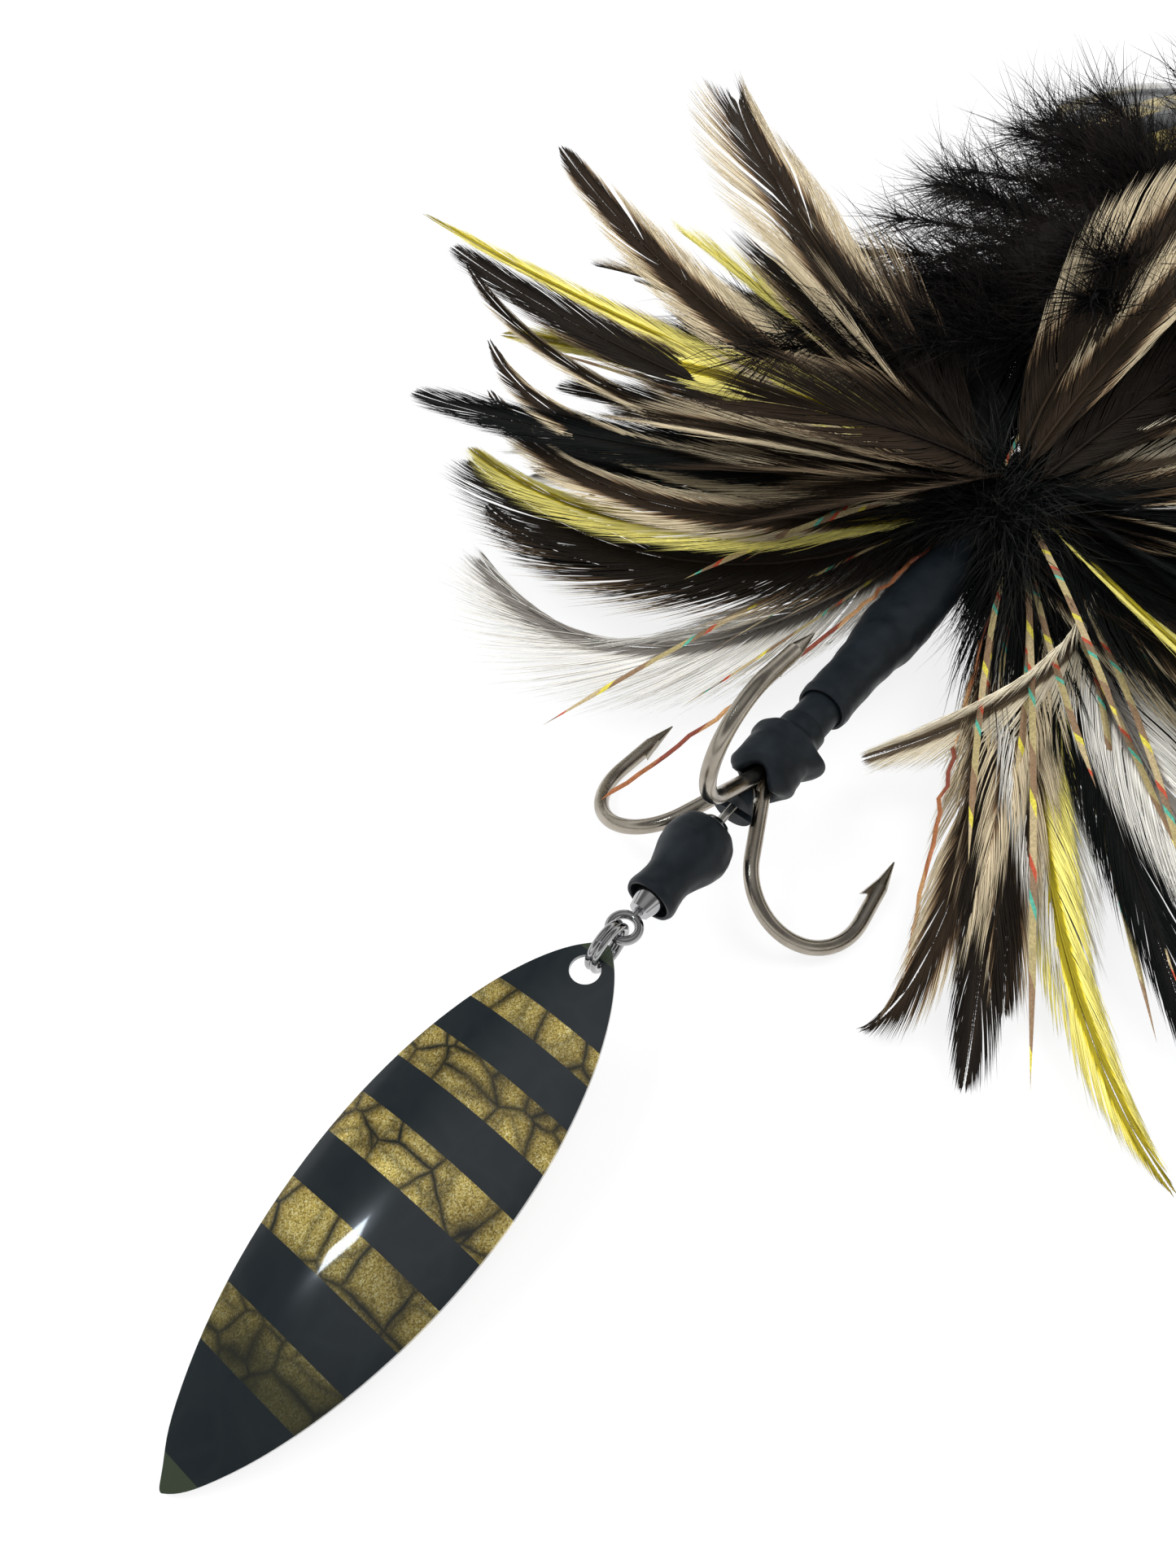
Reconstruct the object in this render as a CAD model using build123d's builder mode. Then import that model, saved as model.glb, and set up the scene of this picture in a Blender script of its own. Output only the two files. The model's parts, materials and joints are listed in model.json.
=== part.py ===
"""Inline spinner with a dressed treble hook and a tail blade.

The lure lies on its side as it rests. +X runs to the line tie, +Z is up, and the origin is under the
middle of the lure on the surface it lies on. Stations are distances in front of the treble's crotch.
"""
from build123d import *
from math import asin, atan2, cos, degrees, pi, radians, sin, sqrt, tan
import os

# ---- Driving dimensions, mm ----
RUN = 0.05  # radial clearance of a turning fit
SOFT = 0.3  # clearance around soft and loosely held pieces

# treble hook
HOOK_WIRE_R = 1.15
HOOK_FLARE = 30.0  # degrees between a leg and the shank
HOOK_BEND_R = 10.0
HOOK_BEND_BACK = 4.6  # bend centre behind the crotch
HOOK_BEND_OUT = 15.6  # bend centre out from the shank's axis
HOOK_SPEAR = 11.5
HOOK_SPEAR_IN = 8.0  # degrees the spear leans towards the shank
HOOK_POINT = 5.0
HOOK_TIP_R = 0.12
HOOK_EYE_R = 3.0
HOOK_EYE_STATION = 42.0
CROTCH_BLEND_R = 5.0

# shafts and loops
SHAFT_R = 0.8
LOOP_R = 3.0  # to the middle of the wire
WRAP_TURNS = 4
COUPLER_STATION = 107.0
COUPLER_R = 4.7
COUPLER_WIRE_R = 0.55

# tubes on the shank and the collar at the crotch
INNER_TUBE = (11.0, 34.0)
OUTER_TUBE_BACK = 17.0
TUBE_WALL = 0.65
COLLAR = (1.2, 12.0)
COLLAR_R = 5.2
PIN_BACK = 3.6
PIN_R = 0.6
PIN_HEIGHT = 2 * (PIN_BACK * tan(radians(HOOK_FLARE)) - 0.4)

# formers, thread wraps and feather collars
FORMER_R = 4.0
FORMER_GAP = 0.7  # between a former and the shaft's wrap in front of it or behind it
HACKLE_FORMER_LENGTH = 24.0
TIE_LENGTH = 9.0
TIE_INSET = 2.5  # former's end to the thread
HACKLE_TO_TIE = 4.0  # middle of the splayed feathers to the thread
HACKLE_HALF_X = 30.0
HACKLE_HALF_Y = 98.0
HACKLE_THICK = 2.4
MARABOU_FORMER_LENGTH = 44.5
MARABOU_LENGTH = 38.0
MARABOU_HALF_Y = 52.0
WRAP_HEIGHT = 1.2

# body, beads and blades of the head
BODY_LENGTH = 26.0
BODY_R = 6.5
BEAD_R = 4.0
CLEVIS_SPAN = 5.2  # between the middles of the two ears
CLEVIS_REACH = 7.5  # shaft axis to the bottom of the bow
CLEVIS_STRAP = 0.8
CLEVIS_WIDTH = 3.0
CLEVIS_EAR = 2.2  # shaft axis to the end of an ear
BLADE_RING_R = 4.2
BLADE_RING_WIRE_R = 0.5
HEAD_BLADE = (68.0, 55.0)
HEAD_BLADE_HOLE_R = 2.1
HEAD_BLADE_CUP = (72.0, 90.0)  # radius across, radius along
HEAD_POWERS = (0.5, 0.62)  # outline fullness at the tip and at the hole end
BLADE_THICK = 0.8

# tail swivel, ring and blade
SWIVEL = (-28.3, -10.0)
SWIVEL_R = 3.0
SWIVEL_TUBE = (-25.0, -13.5)
SWIVEL_TUBE_R = 4.5
LINK_R = 0.65
LINK_EYE_R = 1.4
TAIL_EYE_R = 2.0
TAIL_RING_R = 3.4
TAIL_RING_WIRE_R = 0.5
TAIL_BLADE = (79.5, 25.4)
TAIL_BLADE_HOLE_R = 2.1
TAIL_BLADE_CUP = (36.0, 250.0)
TAIL_POWERS = (0.75, 0.68)
OUTLINE_STEPS = 28
HOLE_INSET = 4.6  # blade's end to the middle of its hole

# ---- Sizes that follow ----
WIRE_PITCH = HOOK_WIRE_R * 2 / sqrt(3) + 0.03  # shank wires' middles from the shank's axis
REACH = HOOK_BEND_OUT + HOOK_BEND_R  # furthest out that a hook's wire middle goes
AXIS_Z = REACH * sin(radians(30)) + HOOK_WIRE_R  # two of three hooks stand on the surface
HOOK_ROLLS = {"left": -30.0, "top": 90.0, "right": 210.0}
SHANK_R = WIRE_PITCH + HOOK_WIRE_R
INNER_TUBE_R = SHANK_R + RUN + TUBE_WALL
OUTER_TUBE_R = INNER_TUBE_R + RUN + TUBE_WALL
EYE_CLEAR_R = max(LOOP_R + SHAFT_R, HOOK_EYE_R + HOOK_WIRE_R) + SOFT
EYE_OFFSET = LOOP_R - SHAFT_R - COUPLER_WIRE_R - 0.45  # loop's middle past the ring's wire
HOLE_SLACK = 0.5  # between a ring's wire and the edge of the hole it pulls on
REAR_LOOP_STATION = COUPLER_STATION - COUPLER_R - EYE_OFFSET
FRONT_LOOP_STATION = COUPLER_STATION + COUPLER_R + EYE_OFFSET
LOOP_PLAY = 0.15  # between the hook's eye and the loop through it
HOOK_LOOP_STATION = HOOK_EYE_STATION + HOOK_EYE_R - HOOK_WIRE_R - SHAFT_R - LOOP_PLAY + LOOP_R
WRAP_LENGTH = SHAFT_R * (3 + 1.9 * (WRAP_TURNS - 1))
HACKLE_FORMER_FRONT = REAR_LOOP_STATION - LOOP_R - WRAP_LENGTH - FORMER_GAP
HACKLE_FORMER = (HACKLE_FORMER_FRONT - HACKLE_FORMER_LENGTH, HACKLE_FORMER_FRONT)
HACKLE_TIE = (HACKLE_FORMER[1] - TIE_INSET - TIE_LENGTH, HACKLE_FORMER[1] - TIE_INSET)
HACKLE_STATION = HACKLE_TIE[0] - HACKLE_TO_TIE
OUTER_TUBE = (OUTER_TUBE_BACK, HACKLE_FORMER[0] - SOFT)
MARABOU_FORMER_BACK = FRONT_LOOP_STATION + LOOP_R + WRAP_LENGTH + FORMER_GAP
MARABOU_FORMER = (MARABOU_FORMER_BACK, MARABOU_FORMER_BACK + MARABOU_FORMER_LENGTH)
MARABOU_TIE = (MARABOU_FORMER[1] - TIE_INSET - TIE_LENGTH, MARABOU_FORMER[1] - TIE_INSET)
LINK_STATION = -PIN_BACK
TAIL_EYE_STATION = SWIVEL[0] - 1.2 - TAIL_EYE_R
TAIL_EYE_HOLE_R = TAIL_EYE_R - LINK_R
NEAR_CROSS_STATION = TAIL_EYE_STATION - (TAIL_EYE_HOLE_R - TAIL_RING_WIRE_R - HOLE_SLACK - 0.1)
TAIL_RING_STATION = NEAR_CROSS_STATION - TAIL_RING_R
TAIL_HOLE_STATION = TAIL_RING_STATION - TAIL_RING_R - (TAIL_BLADE_HOLE_R - TAIL_RING_WIRE_R - HOLE_SLACK)
TAIL_CHORD = TAIL_BLADE[0] - HOLE_INSET
TAIL_TIP_DROP = HOLE_INSET * (TAIL_BLADE[0] - HOLE_INSET) / (2 * TAIL_BLADE_CUP[1])
TAIL_PITCH = degrees(asin((AXIS_Z - TAIL_TIP_DROP - BLADE_THICK / 2 - SOFT) / TAIL_CHORD))
TAIL_END = TAIL_HOLE_STATION - TAIL_CHORD * cos(radians(TAIL_PITCH))
BODY = (MARABOU_FORMER[1] + SOFT, MARABOU_FORMER[1] + SOFT + BODY_LENGTH)
BEAD_PITCH = 2 * BEAD_R + SOFT
CLEVIS_PITCH = CLEVIS_SPAN + CLEVIS_STRAP + SOFT
REAR_CLEVIS_STATION = BODY[1] + SOFT + BEAD_PITCH + (CLEVIS_PITCH - SOFT) / 2
FRONT_CLEVIS_STATION = REAR_CLEVIS_STATION + CLEVIS_PITCH + 2 * BEAD_PITCH
BEADS = {
    "rear": BODY[1] + SOFT + BEAD_R,
    "middle_a": REAR_CLEVIS_STATION + CLEVIS_PITCH / 2 + SOFT / 2 + BEAD_R,
    "middle_b": REAR_CLEVIS_STATION + CLEVIS_PITCH / 2 + SOFT / 2 + BEAD_R + BEAD_PITCH,
    "front": FRONT_CLEVIS_STATION + CLEVIS_PITCH / 2 + SOFT / 2 + BEAD_R,
}
TIE_STATION = BEADS["front"] + BEAD_R + SOFT + WRAP_LENGTH + LOOP_R
FRONT_END = TIE_STATION + LOOP_R + SHAFT_R
CLEVIS_ROLLS = {"front": -30.0, "rear": -150.0}
BLADE_HEADINGS = {"front": 52.0, "rear": -128.0}  # seen from above, +X is 0
RING_SLACK = 1.1  # between a blade ring and the strap it hangs on
RING_OUT = CLEVIS_REACH + BLADE_RING_R - BLADE_RING_WIRE_R - CLEVIS_STRAP / 2 - RING_SLACK


def outline_points(size, powers):
    """A blade seen from above, its hole's middle at 0 and its tip along local x."""
    length, width = size
    tip_power, hole_power = powers
    widest = tip_power / (tip_power + hole_power)
    points = []
    for step in range(OUTLINE_STEPS):
        angle = 2 * pi * step / OUTLINE_STEPS
        share = (1 - cos(angle)) / 2
        half = (share / widest) ** tip_power * ((1 - share) / (1 - widest)) ** hole_power
        side = 1 if angle < pi else -1
        points.append(((1 - share) * length - HOLE_INSET, side * half * width / 2))
    return points


def blade_reach(name):
    """How far in front of its hole a head blade comes."""
    heading = radians(BLADE_HEADINGS[name])
    return max(x * cos(heading) - y * sin(heading) for x, y in outline_points(HEAD_BLADE, HEAD_POWERS))


HOLE_OUT = HEAD_BLADE_HOLE_R - BLADE_RING_WIRE_R - HOLE_SLACK  # blade's hole past its ring's wire
FRONT_HOLE_STATION = FRONT_CLEVIS_STATION + HOLE_OUT * cos(radians(BLADE_HEADINGS["front"]))
CROTCH_X = -(max(FRONT_END, FRONT_HOLE_STATION + blade_reach("front")) + TAIL_END) / 2


def at(station, y=0.0, z=0.0):
    """A point by its station and its offsets from the lure's axis."""
    return Vector(CROTCH_X + station, y, AXIS_Z + z)


def radial_plane(station, roll):
    """Local x forward along the lure, local y out from its axis at the roll angle."""
    normal = (0, -sin(radians(roll)), cos(radians(roll)))
    return Plane(origin=at(station), x_dir=(1, 0, 0), z_dir=normal)


def save(part, name):
    part.label = name
    export_step(part, f"parts/{name}.step")


def turned(points):
    """A solid of revolution about the lure's axis from (station, radius) points."""
    with BuildPart() as piece:
        with BuildSketch(radial_plane(0, 90)):
            with BuildLine():
                Polyline(*points, close=True)
            make_face()
        revolve(axis=Axis(at(0), (1, 0, 0)))
    return piece.part


def tube(span, outer, inner):
    return turned([(span[0], inner), (span[1], inner), (span[1], outer), (span[0], outer)])


def wire_ring(centre, axis, ring_r, wire_r):
    """A closed ring of round wire."""
    with BuildPart() as piece:
        with Locations(Location(Plane(origin=centre, z_dir=axis))):
            Torus(ring_r, wire_r)
    return piece.part


def split_ring(centre, axis, ring_r, wire_r):
    """Two coils of round wire, side by side and joined along their touching line."""
    with BuildPart() as piece:
        with Locations(Location(Plane(origin=centre, z_dir=axis))):
            with Locations((0, 0, wire_r * 0.9), (0, 0, -wire_r * 0.9)):
                Torus(ring_r, wire_r)
    return piece.part


# ---- Treble hook ----
def hook(roll, shank_end):
    """One hook of the treble: shank wire, leg, bend, spear with its barb, and a ground point."""
    plane = radial_plane(0, roll)
    crotch = Vector(0, WIRE_PITCH)
    centre = Vector(-HOOK_BEND_BACK, HOOK_BEND_OUT)
    span = centre - crotch
    leg_length = sqrt(span.length**2 - HOOK_BEND_R**2)
    leg_angle = degrees(atan2(span.Y, span.X)) + degrees(asin(HOOK_BEND_R / span.length))
    leg_way = Vector(cos(radians(leg_angle)), sin(radians(leg_angle)))
    leg_end = crotch + leg_way * leg_length
    turn = leg_angle + HOOK_SPEAR_IN
    with BuildPart() as piece:
        with BuildLine(plane) as path:
            legs = FilletPolyline(
                (shank_end, WIRE_PITCH), (crotch.X, crotch.Y), (leg_end.X, leg_end.Y), radius=CROTCH_BLEND_R
            )
            bend = JernArc(legs @ 1, legs % 1, HOOK_BEND_R, -turn)
            spear = Line(bend @ 1, (bend @ 1) + (bend % 1) * (HOOK_SPEAR - HOOK_POINT))
        with BuildSketch(Plane(origin=path.wire() @ 0, z_dir=path.wire() % 0)):
            Circle(HOOK_WIRE_R)
        sweep()
        way = spear % 1
        inward = (plane.z_dir.cross(way)).normalized() * -1
        with Locations(Location(Plane(origin=spear @ 1, z_dir=way))):
            Cone(HOOK_WIRE_R, HOOK_TIP_R, HOOK_POINT, align=(Align.CENTER, Align.CENTER, Align.MIN))
        barb_plane = Plane(origin=spear @ 0.72, x_dir=way, z_dir=plane.z_dir)
        side = 1 if barb_plane.y_dir.dot(inward) > 0 else -1
        with BuildSketch(barb_plane):
            with BuildLine():
                Polyline((-1.2, side * 2.3), (2.9, side * 0.9), (0.4, side * 0.3), close=True)
            make_face()
        extrude(amount=0.35, both=True)
    return piece.part


def treble_double():
    """Two of the hooks are one wire, bent round at the front into the eye."""
    shank_end = HOOK_EYE_STATION - HOOK_EYE_R * 0.6
    with BuildPart() as piece:
        add(hook(HOOK_ROLLS["left"], shank_end))
        add(hook(HOOK_ROLLS["right"], shank_end))
        add(wire_ring(at(HOOK_EYE_STATION), (0, 0, 1), HOOK_EYE_R, HOOK_WIRE_R))
    return piece.part


def treble_single():
    """The third hook lies along the other two, brazed on behind the eye."""
    return hook(HOOK_ROLLS["top"], HOOK_EYE_STATION - HOOK_EYE_R - HOOK_WIRE_R - 1.0)


# ---- Crotch and shank coverings ----
def crotch_pin():
    with BuildPart() as piece:
        with Locations(Location(at(LINK_STATION))):
            Cylinder(PIN_R, PIN_HEIGHT)
    return piece.part


def crotch_plug():
    """Rubber wedged between the legs in two lips that hold the pin, with the link's slot between."""
    slope = tan(radians(HOOK_FLARE))
    slot = LINK_R * 2 + SOFT
    front, back = -2.2, -6.5
    with BuildPart() as piece:
        add(turned([(front, 0), (back, 0), (back, -back * slope - SOFT), (front, -front * slope - SOFT)]))
        with Locations(Location(at((front + back) / 2))):
            Box(10, 12, slot, mode=Mode.SUBTRACT)
        with Locations(Location(at(LINK_STATION))):
            Cylinder(PIN_R + 0.02, 12, mode=Mode.SUBTRACT)
    return piece.part


def crotch_collar():
    """Shrunk rubber over the crotch: a ribbed sleeve."""
    bore = SHANK_R + RUN
    tube_bore = INNER_TUBE_R + RUN
    rib = COLLAR_R - 0.7
    back, front = COLLAR
    return turned([
        (back, bore + 0.9), (back + 1.6, bore), (INNER_TUBE[0] - 0.1, bore),
        (INNER_TUBE[0] - 0.1, tube_bore), (front, tube_bore), (front, rib - 0.4),
        (front - 2.0, COLLAR_R), (front - 4.2, rib), (front - 6.4, COLLAR_R),
        (front - 8.2, rib), (back + 0.6, COLLAR_R - 0.4), (back, bore + 1.6),
    ])


def shank_tube_outer():
    """Tube that swells over the hook's eye and the loop through it."""
    back, front = OUTER_TUBE
    eye_back = HOOK_EYE_STATION - HOOK_EYE_R - HOOK_WIRE_R - 0.6
    eye_front = HOOK_LOOP_STATION + LOOP_R + SHAFT_R + 0.4
    bore = INNER_TUBE_R + RUN
    ramp = 4.0
    swell = EYE_CLEAR_R
    inner = [(back, bore), (eye_back - ramp, bore), (eye_back, swell), (eye_front, swell),
             (eye_front + ramp, bore), (front, bore)]
    outer = [(station, radius + TUBE_WALL) for station, radius in reversed(inner)]
    return turned(inner + outer)


# ---- Wire shafts ----
def wrap(start, direction):
    """Turns of the shaft's own wire, wound round it behind a loop."""
    with BuildPart() as piece:
        for turn in range(WRAP_TURNS):
            station = start + direction * SHAFT_R * (1 + 1.9 * turn)
            with Locations(Location(Plane(origin=at(station), z_dir=(1, 0, 0)))):
                Torus(SHAFT_R * 1.9, SHAFT_R)
    return piece.part


def shaft(back_loop, front_loop):
    """A straight wire with a closed loop and a wrap at each end."""
    start, end = back_loop + LOOP_R, front_loop - LOOP_R
    with BuildPart() as piece:
        with BuildSketch(Plane(origin=at(start), z_dir=(1, 0, 0))):
            Circle(SHAFT_R)
        extrude(amount=end - start)
        for station in (back_loop, front_loop):
            add(wire_ring(at(station), (0, 1, 0), LOOP_R, SHAFT_R))
        add(wrap(start + SHAFT_R, 1))
        add(wrap(end - SHAFT_R, -1))
    return piece.part


# ---- Dressing ----
def thread_wrap(span):
    """Thread wound over the feathers' butts, tapered at both ends."""
    back, front = span
    bore = FORMER_R + RUN
    return turned([
        (back, bore), (front, bore), (front, bore + WRAP_HEIGHT * 0.4),
        (front - 2, bore + WRAP_HEIGHT), (back + 2, bore + WRAP_HEIGHT), (back, bore + WRAP_HEIGHT * 0.6),
    ])


def hackle_collar():
    """Feathers splayed round the former and lying out on the surface."""
    bore = FORMER_R + SOFT
    hub_r = bore + 3.0
    with BuildPart() as piece:
        with BuildSketch(Plane(origin=(CROTCH_X + HACKLE_STATION, 0, 0))):
            Ellipse(HACKLE_HALF_X, HACKLE_HALF_Y)
        extrude(amount=HACKLE_THICK)
        with BuildSketch(Plane(origin=(CROTCH_X + HACKLE_STATION, 0, HACKLE_THICK))):
            Ellipse(HACKLE_HALF_X * 0.5, HACKLE_HALF_Y * 0.4)
        with BuildSketch(Plane(origin=(CROTCH_X + HACKLE_STATION, 0, AXIS_Z - FORMER_R - 1.0))):
            Ellipse(hub_r * 0.55, hub_r)
        loft()
        add(tube((HACKLE_STATION - 3.6, HACKLE_STATION + 3.6), hub_r, bore))
        add(tube((HACKLE_STATION - 60, HACKLE_STATION + 60), bore, 0), mode=Mode.SUBTRACT)
    return piece.part


def marabou_collar():
    """Marabou swept back from its tie over the front shaft's loop end."""
    front = MARABOU_TIE[0] - SOFT
    hub_r = FORMER_R + SOFT + 2.2
    shape = [(0.0, hub_r, hub_r), (0.3, MARABOU_HALF_Y * 0.6, AXIS_Z * 0.75),
             (0.6, MARABOU_HALF_Y, AXIS_Z - 0.05), (1.0, MARABOU_HALF_Y * 0.6, AXIS_Z * 0.7)]
    with BuildPart() as piece:
        for share, half_y, half_z in shape:
            section = Plane(origin=at(front - share * MARABOU_LENGTH), x_dir=(0, 1, 0), z_dir=(1, 0, 0))
            with BuildSketch(section):
                Ellipse(half_y, half_z)
        loft(ruled=True)
        add(tube((front - MARABOU_LENGTH - 5, front + 5), FORMER_R + SOFT, 0), mode=Mode.SUBTRACT)
    return piece.part


# ---- Head ----
def body_weight():
    """Turned body with a waist groove, bored for the shaft."""
    back, front = BODY
    bore = SHAFT_R + RUN
    return turned([
        (back, bore), (front, bore), (front, 2.6), (front - 3, 4.4), (front - 9, BODY_R),
        (front - 14, BODY_R), (front - 15, BODY_R - 0.8), (front - 16, BODY_R), (back + 4, 5.2), (back, 3.4),
    ])


def bead(station):
    with BuildPart() as piece:
        with Locations(Location(Plane(origin=at(station), z_dir=(1, 0, 0)))):
            Sphere(BEAD_R)
            Cylinder(SHAFT_R + RUN, 4 * BEAD_R, mode=Mode.SUBTRACT)
    return piece.part


def clevis(station, roll):
    """Folded strap: two bored ears on the shaft and a round bow that holds the blade's ring."""
    half = CLEVIS_SPAN / 2
    bow_out = CLEVIS_REACH - half
    with BuildPart() as piece:
        with BuildSketch(radial_plane(station, roll)):
            with BuildLine():
                Line((-half, -CLEVIS_EAR), (-half, bow_out))
                ThreePointArc((-half, bow_out), (0, CLEVIS_REACH), (half, bow_out))
                Line((half, bow_out), (half, -CLEVIS_EAR))
            trace(line_width=CLEVIS_STRAP)
        extrude(amount=CLEVIS_WIDTH / 2, both=True)
        with Locations(Location(Plane(origin=at(station), z_dir=(1, 0, 0)))):
            Cylinder(SHAFT_R + RUN, 4 * CLEVIS_SPAN, mode=Mode.SUBTRACT)
    return piece.part


def blade_ring_centre(station, roll):
    """The ring hangs from the bow, its middle further out than the bow's strap."""
    return at(station, RING_OUT * cos(radians(roll)), RING_OUT * sin(radians(roll)))


# ---- Blades ----
def cupped_blade(size, powers, cup, hole_r, place):
    """A plate dished both ways, its convex side up, its hole's middle at the place's origin."""
    length, width = size
    across, along = cup
    middle = length / 2 - HOLE_INSET
    rise = along - sqrt(along**2 - middle**2) + BLADE_THICK / 2
    spread = degrees(asin(0.6 * width / across))
    with BuildPart() as plate:
        with BuildSketch(Plane(origin=(middle, 0, rise), x_dir=(0, 1, 0), z_dir=(1, 0, 0))):
            with BuildLine():
                outer = CenterArc((0, -across), across, 90 - spread, 2 * spread)
                inner = CenterArc((0, -across), across - BLADE_THICK, 90 - spread, 2 * spread)
                Line(outer @ 0, inner @ 0)
                Line(outer @ 1, inner @ 1)
            make_face()
        revolve(axis=Axis((middle, 0, rise - along), (0, 1, 0)))
        with BuildSketch(Plane.XY.offset(-along / 2)):
            with BuildLine():
                Spline(*outline_points(size, powers), periodic=True)
            make_face()
        extrude(amount=along, mode=Mode.INTERSECT)
        Cylinder(hole_r, 3 * along, mode=Mode.SUBTRACT)
    return place.location * plate.part


def head_blade_place(name):
    """The blade lies out to one side of the shaft, its tip near the surface."""
    station = {"front": FRONT_CLEVIS_STATION, "rear": REAR_CLEVIS_STATION}[name]
    heading = radians(BLADE_HEADINGS[name])
    centre = blade_ring_centre(station, CLEVIS_ROLLS[name])
    side = 1 if sin(heading) > 0 else -1
    way = Vector(cos(heading), sin(heading), 0)
    hole = centre + Vector(0, side * BLADE_RING_R, 0) + way * HOLE_OUT
    chord = HEAD_BLADE[0] - HOLE_INSET
    tip_drop = HOLE_INSET * chord / (2 * HEAD_BLADE_CUP[1])
    pitch = asin((hole.Z - tip_drop - BLADE_THICK - SOFT) / chord)
    return Plane(origin=hole, x_dir=way * cos(pitch) - Vector(0, 0, sin(pitch)),
                 z_dir=way * sin(pitch) + Vector(0, 0, cos(pitch)))


def tail_blade_place():
    pitch = radians(TAIL_PITCH)
    way = (-cos(pitch), 0, -sin(pitch))
    return Plane(origin=at(TAIL_HOLE_STATION), x_dir=way, z_dir=(-sin(pitch), 0, cos(pitch)))


# ---- Tail swivel ----
BARREL_CONE = 5.0
CAVITY_R = 1.7
BALL_R = 0.45


def swivel_barrel():
    """Barrel with a domed front, a coned back and a chamber at each end for a headed stem."""
    back, front = SWIVEL
    bore = LINK_R + RUN
    return turned([
        (back, bore), (back, 1.5), (back + BARREL_CONE, SWIVEL_R), (front - 2.6, SWIVEL_R),
        (front - 1.2, 2.7),
        (front - 0.3, 2.0), (front, 1.3), (front, bore), (front - 1.6, bore), (front - 1.6, CAVITY_R),
        (front - 4.0, CAVITY_R), (front - 4.0, bore), (back + 5.0, bore), (back + 5.0, CAVITY_R),
        (back + 1.9, CAVITY_R), (back + 1.9, bore),
    ])


def swivel_balls():
    """Bearing balls between the rear stem's head and the chamber's end."""
    with BuildPart() as piece:
        with Locations(Location(Plane(origin=at(SWIVEL[0] + 1.95 + BALL_R), z_dir=(1, 0, 0)))):
            with PolarLocations(CAVITY_R - BALL_R - RUN, 6):
                Sphere(BALL_R)
    return piece.part


def swivel_tube():
    back, front = SWIVEL_TUBE
    bore = SWIVEL_R + RUN
    return turned([(back, bore), (front, bore), (front, bore + 0.5), (front - 2.5, SWIVEL_TUBE_R),
                   (front - 5.5, SWIVEL_TUBE_R), (back + 3.0, bore + 0.6), (back, bore + 0.5)])


def headed_stem(loop_station, loop_r, loop_end, head_span):
    """A loop of wire lying flat, on a stem that runs to a head inside the barrel."""
    near, far = head_span
    with BuildPart() as piece:
        add(wire_ring(at(loop_station), (0, 0, 1), loop_r, LINK_R))
        with BuildSketch(Plane(origin=at(min(loop_end, near)), z_dir=(1, 0, 0))):
            Circle(LINK_R)
        extrude(amount=abs(near - loop_end))
        with BuildSketch(Plane(origin=at(min(near, far)), z_dir=(1, 0, 0))):
            Circle(CAVITY_R - 2 * RUN)
        extrude(amount=abs(far - near))
    return piece.part


def tail_link():
    """The front stem: its loop turns on the pin in the crotch."""
    front = SWIVEL[1]
    return headed_stem(LINK_STATION, LINK_EYE_R, LINK_STATION - LINK_EYE_R, (front - 1.7, front - 3.9))


def swivel_eye():
    """The rear stem: its loop carries the split ring."""
    back = SWIVEL[0]
    head = back + 1.95 + 2 * BALL_R + RUN
    return headed_stem(TAIL_EYE_STATION, TAIL_EYE_R, TAIL_EYE_STATION + TAIL_EYE_R, (head, head + 1.8))


def main():
    os.makedirs("parts", exist_ok=True)
    save(treble_double(), "treble_double")
    save(treble_single(), "treble_single")
    save(crotch_pin(), "crotch_pin")
    save(crotch_plug(), "crotch_plug")
    save(crotch_collar(), "crotch_collar")
    save(tube(INNER_TUBE, INNER_TUBE_R, SHANK_R + RUN), "shank_tube_inner")
    save(shank_tube_outer(), "shank_tube_outer")
    save(shaft(HOOK_LOOP_STATION, REAR_LOOP_STATION), "rear_shaft")
    save(tube(HACKLE_FORMER, FORMER_R, SHAFT_R + RUN), "hackle_former")
    save(thread_wrap(HACKLE_TIE), "hackle_wrap")
    save(hackle_collar(), "hackle_collar")
    save(split_ring(at(COUPLER_STATION), (0, 0, 1), COUPLER_R, COUPLER_WIRE_R), "coupler_ring")
    save(shaft(FRONT_LOOP_STATION, TIE_STATION), "front_shaft")
    save(tube(MARABOU_FORMER, FORMER_R, SHAFT_R + RUN), "marabou_former")
    save(thread_wrap(MARABOU_TIE), "marabou_wrap")
    save(marabou_collar(), "marabou_collar")
    save(body_weight(), "body_weight")
    for name, station in BEADS.items():
        save(bead(station), f"bead_{name}")
    for name, station in {"front": FRONT_CLEVIS_STATION, "rear": REAR_CLEVIS_STATION}.items():
        roll = CLEVIS_ROLLS[name]
        save(clevis(station, roll), f"clevis_{name}")
        ring = split_ring(blade_ring_centre(station, roll), (1, 0, 0), BLADE_RING_R, BLADE_RING_WIRE_R)
        save(ring, f"blade_ring_{name}")
        place = head_blade_place(name)
        leaf = cupped_blade(HEAD_BLADE, HEAD_POWERS, HEAD_BLADE_CUP, HEAD_BLADE_HOLE_R, place)
        save(leaf, f"blade_{name}")
    save(tail_link(), "tail_link")
    save(swivel_barrel(), "swivel_barrel")
    save(swivel_balls(), "swivel_balls")
    save(swivel_tube(), "swivel_tube")
    save(swivel_eye(), "swivel_eye")
    save(split_ring(at(TAIL_RING_STATION), (0, 1, 0), TAIL_RING_R, TAIL_RING_WIRE_R), "tail_ring")
    leaf = cupped_blade(TAIL_BLADE, TAIL_POWERS, TAIL_BLADE_CUP, TAIL_BLADE_HOLE_R, tail_blade_place())
    save(leaf, "tail_blade")


main()
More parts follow.
